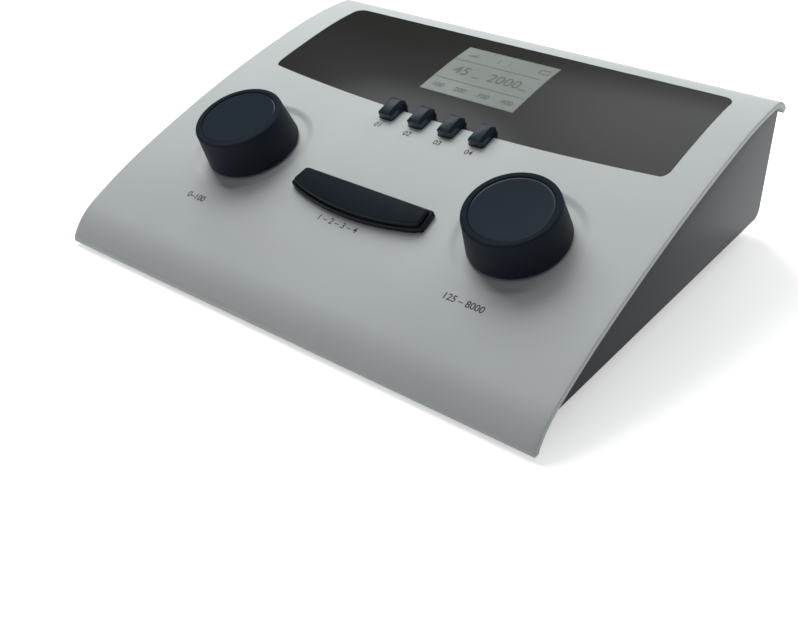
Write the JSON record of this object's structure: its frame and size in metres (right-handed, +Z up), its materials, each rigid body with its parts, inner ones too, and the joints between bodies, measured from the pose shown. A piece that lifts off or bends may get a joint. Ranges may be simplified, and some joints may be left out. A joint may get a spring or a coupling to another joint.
{
  "type": "audiometer",
  "caption": "Wedge-shaped desktop audiometer: curved grey cover, flush display, two dials, tone bar and function keys on a dark base with rear sockets.",
  "frame": {"origin": "on the table, under the middle of the device's box", "axes": "+X to the user's right along the device's width, +Y to the rear, +Z up"},
  "size_m": [0.225, 0.1757, 0.0602],
  "materials": {
    "cover_plastic": "fine-textured moulded plastic, cool light grey",
    "base_plastic": "textured moulded plastic, dark slate",
    "panel_gloss": "glossy brown-black printed panel",
    "window_grey": "grey-green display area under a clear hard coat",
    "lcd_glass": "clear glass with a grey-green cast",
    "light_plate": "milky light guide",
    "board": "green solder resist",
    "plated_steel": "bright plated steel",
    "black_plastic": "plain black plastic",
    "knob_soft_touch": "soft-touch navy black",
    "knob_disc_gloss": "glossy blue-black inlay",
    "key_gloss": "glossy navy-black keys",
    "bar_satin": "satin blue-black",
    "plunger_plastic": "amber plastic",
    "cell_jacket": "plain blue cell jacket",
    "rubber": "black rubber",
    "ribbon": "grey ribbon cable"
  },
  "bodies": {
    "housing": {"top_cover": "cover_plastic", "base_housing": "base_plastic", "display_panel": "panel_gloss", "display_window": "window_grey", "lcd_glass": "lcd_glass", "lcd_frame": "plated_steel", "backlight": "light_plate", "lcd_board": "board", "lcd_screws": "plated_steel", "main_board": "board", "board_chips": "black_plastic", "board_screws": "plated_steel", "left_encoder": "plated_steel", "right_encoder": "plated_steel", "key_switches": "black_plastic", "tone_bar_collar": "bar_satin", "tone_switch": "black_plastic", "tone_bar_springs": "plated_steel", "rear_board": "board", "left_phone_socket": "black_plastic", "right_phone_socket": "black_plastic", "response_socket": "black_plastic", "usb_socket": "plated_steel", "power_switch": "black_plastic", "battery_cells": "cell_jacket", "battery_contacts": "plated_steel", "rubber_feet": "rubber", "case_screws": "plated_steel", "ribbon_cables": "ribbon"},
    "left_dial": {"left_knob": "knob_soft_touch", "left_knob_disc": "knob_disc_gloss", "left_shaft": "plated_steel"},
    "right_dial": {"right_knob": "knob_soft_touch", "right_knob_disc": "knob_disc_gloss", "right_shaft": "plated_steel"},
    "key_1": {"function_key_1": "key_gloss", "key_plunger_1": "plunger_plastic"},
    "key_2": {"function_key_2": "key_gloss", "key_plunger_2": "plunger_plastic"},
    "key_3": {"function_key_3": "key_gloss", "key_plunger_3": "plunger_plastic"},
    "key_4": {"function_key_4": "key_gloss", "key_plunger_4": "plunger_plastic"},
    "tone_key": {"tone_bar": "bar_satin", "tone_plunger": "plunger_plastic"},
    "rocker": {"power_rocker": "black_plastic"},
    "door": {"battery_door": "base_plastic"}
  },
  "joints": [
    {"name": "left_dial_turn", "type": "hinge", "parent": "housing", "child": "left_dial", "pos_m": [-0.0655, -0.029, 0.03427], "axis": [0, -0.3371, 0.9415], "continuous": true},
    {"name": "right_dial_turn", "type": "hinge", "parent": "housing", "child": "right_dial", "pos_m": [0.0655, -0.029, 0.03427], "axis": [0, -0.3371, 0.9415], "continuous": true},
    {"name": "key_1_press", "type": "slide", "parent": "housing", "child": "key_1", "axis": [0, 0.3371, -0.9415], "range_m": [0, 0.0006], "stiffness_N_per_m": 600, "springref_m": -0.0015},
    {"name": "key_2_press", "type": "slide", "parent": "housing", "child": "key_2", "axis": [0, 0.3371, -0.9415], "range_m": [0, 0.0006], "stiffness_N_per_m": 600, "springref_m": -0.0015},
    {"name": "key_3_press", "type": "slide", "parent": "housing", "child": "key_3", "axis": [0, 0.3371, -0.9415], "range_m": [0, 0.0006], "stiffness_N_per_m": 600, "springref_m": -0.0015},
    {"name": "key_4_press", "type": "slide", "parent": "housing", "child": "key_4", "axis": [0, 0.3371, -0.9415], "range_m": [0, 0.0006], "stiffness_N_per_m": 600, "springref_m": -0.0015},
    {"name": "tone_bar_press", "type": "slide", "parent": "housing", "child": "tone_key", "axis": [0, 0.3371, -0.9415], "range_m": [0, 0.0012], "stiffness_N_per_m": 300, "springref_m": -0.003, "deforming": ["tone_bar_springs"]},
    {"name": "rocker_tilt", "type": "hinge", "parent": "housing", "child": "rocker", "pos_m": [0.066, 0.08207, 0.0366], "axis": [1, 0, 0], "range_deg": [-14, 0]},
    {"name": "door_slide", "type": "slide", "parent": "housing", "child": "door", "axis": [0, 1, 0], "range_m": [0, 0.044]}
  ]
}
